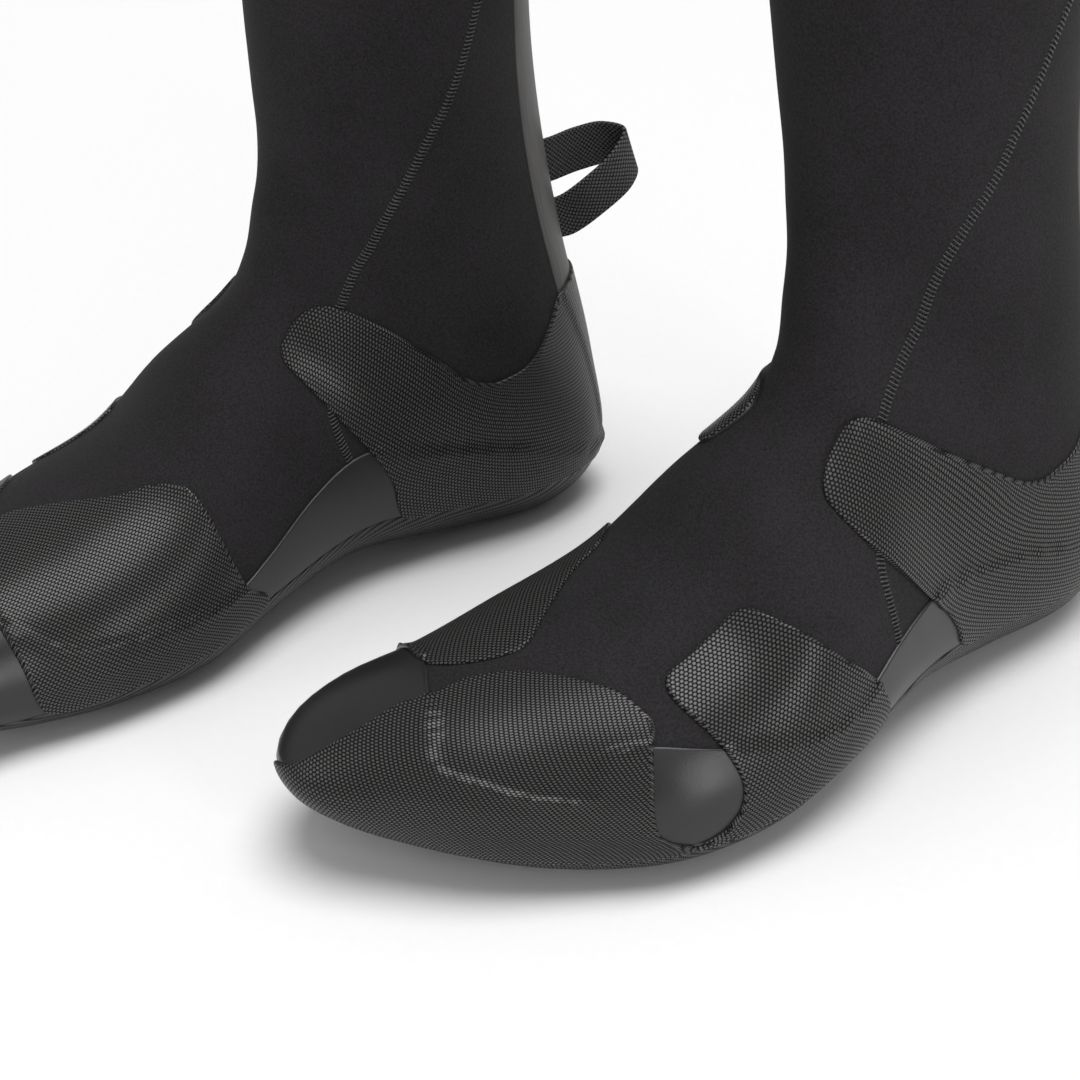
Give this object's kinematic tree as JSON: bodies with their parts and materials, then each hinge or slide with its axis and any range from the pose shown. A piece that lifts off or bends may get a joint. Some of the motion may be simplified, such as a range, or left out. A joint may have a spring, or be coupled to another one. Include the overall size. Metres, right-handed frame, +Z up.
{
  "type": "neoprene boots",
  "caption": "Pair of ankle-high neoprene surf boots with dotted rubber soles, toe caps, heel straps, a smooth rand and a webbing pull loop.",
  "frame": {"origin": "centre of the pair's bounding box at floor level", "axes": "+Z up, toes towards -Y, the wearer's left boot on the +X side; each boot is turned a few degrees about Z as the pair stands"},
  "size_m": [0.3112, 0.389, 0.2332],
  "materials": {
    "neoprene": "matte jersey-faced neoprene",
    "dotted_rubber": "satin with a fine dotted texture",
    "smooth_rubber": "smooth satin",
    "strip_rubber": "smooth matte",
    "webbing": "ribbed woven webbing",
    "lining_cloth": "soft knitted lining",
    "insole_foam": "matte foam footbed"
  },
  "bodies": {
    "left_foot": {"left_sock_lining": "lining_cloth", "left_insole": "insole_foam", "left_bottom_panel": "neoprene", "left_vamp_lower": "neoprene", "left_quarter_outer_lower": "neoprene", "left_quarter_inner_lower": "neoprene", "left_outsole": "dotted_rubber", "left_rand": "smooth_rubber", "left_toe_cap": "dotted_rubber", "left_outer_wing": "dotted_rubber", "left_inner_wing": "dotted_rubber", "left_heel_counter_outer": "dotted_rubber", "left_heel_counter_inner": "dotted_rubber", "left_ankle_fold": "neoprene"},
    "left_shaft": {"left_shaft_lining": "lining_cloth", "left_vamp_upper": "neoprene", "left_quarter_outer_upper": "neoprene", "left_quarter_inner_upper": "neoprene", "left_back_strip": "strip_rubber", "left_loop_anchor_upper": "webbing", "left_loop_anchor_lower": "webbing"},
    "left_loop": {"left_pull_loop": "webbing"},
    "right_foot": {"right_sock_lining": "lining_cloth", "right_insole": "insole_foam", "right_bottom_panel": "neoprene", "right_vamp_lower": "neoprene", "right_quarter_outer_lower": "neoprene", "right_quarter_inner_lower": "neoprene", "right_outsole": "dotted_rubber", "right_rand": "smooth_rubber", "right_toe_cap": "dotted_rubber", "right_outer_wing": "dotted_rubber", "right_inner_wing": "dotted_rubber", "right_heel_counter_outer": "dotted_rubber", "right_heel_counter_inner": "dotted_rubber", "right_ankle_fold": "neoprene"},
    "right_shaft": {"right_shaft_lining": "lining_cloth", "right_vamp_upper": "neoprene", "right_quarter_outer_upper": "neoprene", "right_quarter_inner_upper": "neoprene", "right_back_strip": "strip_rubber", "right_loop_anchor_upper": "webbing", "right_loop_anchor_lower": "webbing"},
    "right_loop": {"right_pull_loop": "webbing"}
  },
  "joints": [
    {"name": "left_ankle_fold", "type": "hinge", "parent": "left_foot", "child": "left_shaft", "pos_m": [0.09746, 0.12191, 0.097], "axis": [0.9974, -0.0715, 0], "range_deg": [-10, 18], "stiffness_Nm_per_rad": 1.2, "deforming": ["left_ankle_fold"]},
    {"name": "left_pull_loop_flop", "type": "hinge", "parent": "left_shaft", "child": "left_loop", "pos_m": [0.10039, 0.1628, 0.112], "axis": [-0.0068, -0.0946, 0.9955], "range_deg": [-30, 30], "stiffness_Nm_per_rad": 0.02},
    {"name": "right_ankle_fold", "type": "hinge", "parent": "right_foot", "child": "right_shaft", "pos_m": [-0.07036, 0.04687, 0.097], "axis": [0.9903, -0.1392, 0], "range_deg": [-10, 18], "stiffness_Nm_per_rad": 1.2, "deforming": ["right_ankle_fold"]},
    {"name": "right_pull_loop_flop", "type": "hinge", "parent": "right_shaft", "child": "right_loop", "pos_m": [-0.06466, 0.08747, 0.112], "axis": [-0.0132, -0.0939, 0.9955], "range_deg": [-30, 30], "stiffness_Nm_per_rad": 0.02},
    {"name": "right_boot_lift", "type": "slide", "parent": "left_foot", "child": "right_foot", "axis": [0, 0, 1], "range_m": [0, 0.3]}
  ]
}
